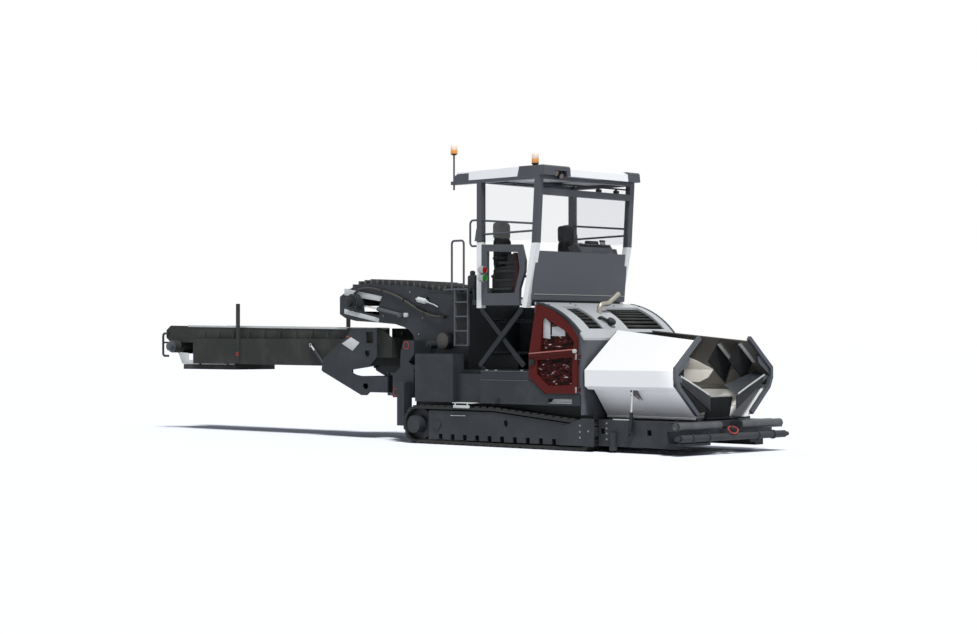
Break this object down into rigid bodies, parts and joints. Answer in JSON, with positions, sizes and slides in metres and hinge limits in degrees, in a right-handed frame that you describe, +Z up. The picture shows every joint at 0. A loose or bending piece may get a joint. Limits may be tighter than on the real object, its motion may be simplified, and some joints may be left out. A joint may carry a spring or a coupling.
{
  "type": "mobile feeder",
  "caption": "Tracked mobile feeder with a folding-wing hopper, lifting operator platform under a canopy, scraper conveyor and a swinging, luffing belt conveyor.",
  "frame": {"origin": "on the ground under the middle of the machine's box", "axes": "+X forward to the hopper, +Y to the operator's left, +Z up"},
  "size_m": [14.7278, 2.98, 5.276],
  "materials": {
    "dark_paint": "satin",
    "panel_grey": "satin",
    "white_paint": "satin",
    "hood_grey": "satin",
    "maroon_paint": "satin",
    "track_steel": "matt",
    "worn_steel": "satin",
    "chrome_rod": "polished",
    "roof_shell": "gloss",
    "amber_lens": "gloss",
    "pane": "gloss",
    "seat_cover": "matt",
    "belt_rubber": "matt",
    "engine_iron": "matt",
    "mesh_black": "matt"
  },
  "bodies": {
    "chassis": {"main_frame": "dark_paint", "track_right": "track_steel", "track_left": "track_steel", "track_frame_right": "dark_paint", "track_frame_left": "dark_paint", "side_box_right": "dark_paint", "side_box_left": "dark_paint", "swing_mount": "dark_paint", "engine_housing": "dark_paint", "hood": "hood_grey", "hood_louvres": "mesh_black", "engine_block": "engine_iron", "exhaust": "worn_steel", "front_frame": "dark_paint", "tow_eye": "dark_paint", "hopper_body": "dark_paint", "conveyor_casing": "dark_paint", "scraper_chain": "worn_steel", "head_drive": "worn_steel", "ladder": "dark_paint"},
    "flap": {"flap": "dark_paint"},
    "platform": {"platform_deck": "dark_paint", "front_panel": "panel_grey", "platform_frame": "white_paint", "canopy_frame": "dark_paint", "roof": "roof_shell", "beacon_front": "amber_lens", "beacon_rear": "amber_lens", "side_pane_right": "pane", "side_pane_left": "pane", "windscreen": "pane", "console_right": "panel_grey", "console_left": "panel_grey", "seat_right": "seat_cover", "seat_left": "seat_cover"},
    "scissor_lower": {"scissor_lower": "dark_paint"},
    "scissor_upper": {"scissor_upper": "dark_paint"},
    "swivel_bracket": {"swivel_bracket": "dark_paint"},
    "belt_conveyor": {"belt_frame": "dark_paint", "belt": "belt_rubber", "tail_guard": "dark_paint", "tail_tray": "belt_rubber"},
    "wing_right": {"wing_right": "white_paint", "wing_rim_right": "dark_paint"},
    "door_right": {"engine_door_right": "maroon_paint", "door_mesh_right": "mesh_black"},
    "push_roller_right": {"push_roller_right": "worn_steel"},
    "wing_barrel_right": {"wing_barrel_right": "dark_paint"},
    "wing_rod_right": {"wing_rod_right": "chrome_rod"},
    "luff_barrel_right": {"luff_barrel_right": "dark_paint"},
    "luff_rod_right": {"luff_rod_right": "chrome_rod"},
    "wing_left": {"wing_left": "white_paint", "wing_rim_left": "dark_paint"},
    "door_left": {"engine_door_left": "maroon_paint", "door_mesh_left": "mesh_black"},
    "push_roller_left": {"push_roller_left": "worn_steel"},
    "wing_barrel_left": {"wing_barrel_left": "dark_paint"},
    "wing_rod_left": {"wing_rod_left": "chrome_rod"},
    "luff_barrel_left": {"luff_barrel_left": "dark_paint"},
    "luff_rod_left": {"luff_rod_left": "chrome_rod"}
  },
  "joints": [
    {"name": "wing_tilt_right", "type": "hinge", "parent": "chassis", "child": "wing_right", "pos_m": [6.1, -0.7, 0.575], "axis": [1, 0, 0], "range_deg": [0, 25]},
    {"name": "wing_barrel_turn_right", "type": "hinge", "parent": "chassis", "child": "wing_barrel_right", "pos_m": [6.12, -1.2, 0.34], "axis": [1, 0, 0], "range_deg": [0, 15]},
    {"name": "wing_rod_slide_right", "type": "slide", "parent": "wing_barrel_right", "child": "wing_rod_right", "axis": [0, -0.0904, -0.9959], "range_m": [0, 0.2217]},
    {"name": "push_roller_spin_right", "type": "hinge", "parent": "chassis", "child": "push_roller_right", "pos_m": [7.21, -0.8235, 0.465], "axis": [0, 1, 0], "continuous": true},
    {"name": "door_swing_right", "type": "hinge", "parent": "chassis", "child": "door_right", "pos_m": [5.078, -1.2795, 1.325], "axis": [0, 0, 1], "range_deg": [0, 90]},
    {"name": "wing_tilt_left", "type": "hinge", "parent": "chassis", "child": "wing_left", "pos_m": [6.1, 0.7, 0.575], "axis": [-1, 0, 0], "range_deg": [0, 25]},
    {"name": "wing_barrel_turn_left", "type": "hinge", "parent": "chassis", "child": "wing_barrel_left", "pos_m": [6.12, 1.2, 0.34], "axis": [-1, 0, 0], "range_deg": [0, 15]},
    {"name": "wing_rod_slide_left", "type": "slide", "parent": "wing_barrel_left", "child": "wing_rod_left", "axis": [0, 0.0904, -0.9959], "range_m": [0, 0.2217]},
    {"name": "push_roller_spin_left", "type": "hinge", "parent": "chassis", "child": "push_roller_left", "pos_m": [7.21, 0.8235, 0.465], "axis": [0, 1, 0], "continuous": true},
    {"name": "door_swing_left", "type": "hinge", "parent": "chassis", "child": "door_left", "pos_m": [5.078, 1.2795, 1.325], "axis": [0, 0, -1], "range_deg": [0, 90]},
    {"name": "flap_tip", "type": "hinge", "parent": "chassis", "child": "flap", "pos_m": [6.95, 0, 0.56], "axis": [0, 1, 0], "range_deg": [0, 60]},
    {"name": "platform_lift", "type": "slide", "parent": "chassis", "child": "platform", "axis": [0, 0, 1], "range_m": [-0.66, 0]},
    {"name": "scissor_lower_turn", "type": "hinge", "parent": "chassis", "child": "scissor_lower", "pos_m": [2.53, 0, 1.42], "axis": [0, -1, 0], "range_deg": [-32.12, 0]},
    {"name": "scissor_upper_turn", "type": "hinge", "parent": "platform", "child": "scissor_upper", "pos_m": [2.53, 0, 2.37], "axis": [0, 1, 0], "range_deg": [-32.12, 0]},
    {"name": "belt_swing", "type": "hinge", "parent": "chassis", "child": "swivel_bracket", "pos_m": [-0.63, 0, 1], "axis": [0, 0, 1], "range_deg": [-45, 45]},
    {"name": "belt_luff", "type": "hinge", "parent": "swivel_bracket", "child": "belt_conveyor", "pos_m": [-1.1, 0, 1.98], "axis": [0, 1, 0], "range_deg": [-3, 14]},
    {"name": "luff_barrel_turn_right", "type": "hinge", "parent": "swivel_bracket", "child": "luff_barrel_right", "pos_m": [-1.95, -0.645, 1.33], "axis": [0, 1, 0], "range_deg": [-3.23, 14.89]},
    {"name": "luff_rod_slide_right", "type": "slide", "parent": "luff_barrel_right", "child": "luff_rod_right", "axis": [-0.7154, 0, 0.6987], "range_m": [-0.0562, 0.2605]},
    {"name": "luff_barrel_turn_left", "type": "hinge", "parent": "swivel_bracket", "child": "luff_barrel_left", "pos_m": [-1.95, 0.645, 1.33], "axis": [0, 1, 0], "range_deg": [-3.23, 14.89]},
    {"name": "luff_rod_slide_left", "type": "slide", "parent": "luff_barrel_left", "child": "luff_rod_left", "axis": [-0.7154, 0, 0.6987], "range_m": [-0.0562, 0.2605]}
  ],
  "couplings": [
    {"joint": "wing_barrel_turn_right", "follows": "wing_tilt_right", "ratio": 0.598},
    {"joint": "wing_rod_slide_right", "follows": "wing_tilt_right", "m_per_rad": 0.507},
    {"joint": "wing_barrel_turn_left", "follows": "wing_tilt_left", "ratio": 0.598},
    {"joint": "wing_rod_slide_left", "follows": "wing_tilt_left", "m_per_rad": 0.507},
    {"joint": "scissor_lower_turn", "follows": "platform_lift", "rad_per_m": 0.848},
    {"joint": "scissor_upper_turn", "follows": "platform_lift", "rad_per_m": 0.848},
    {"joint": "luff_barrel_turn_right", "follows": "belt_luff", "ratio": 1.06},
    {"joint": "luff_rod_slide_right", "follows": "belt_luff", "m_per_rad": 1.064},
    {"joint": "luff_barrel_turn_left", "follows": "belt_luff", "ratio": 1.06},
    {"joint": "luff_rod_slide_left", "follows": "belt_luff", "m_per_rad": 1.064}
  ]
}
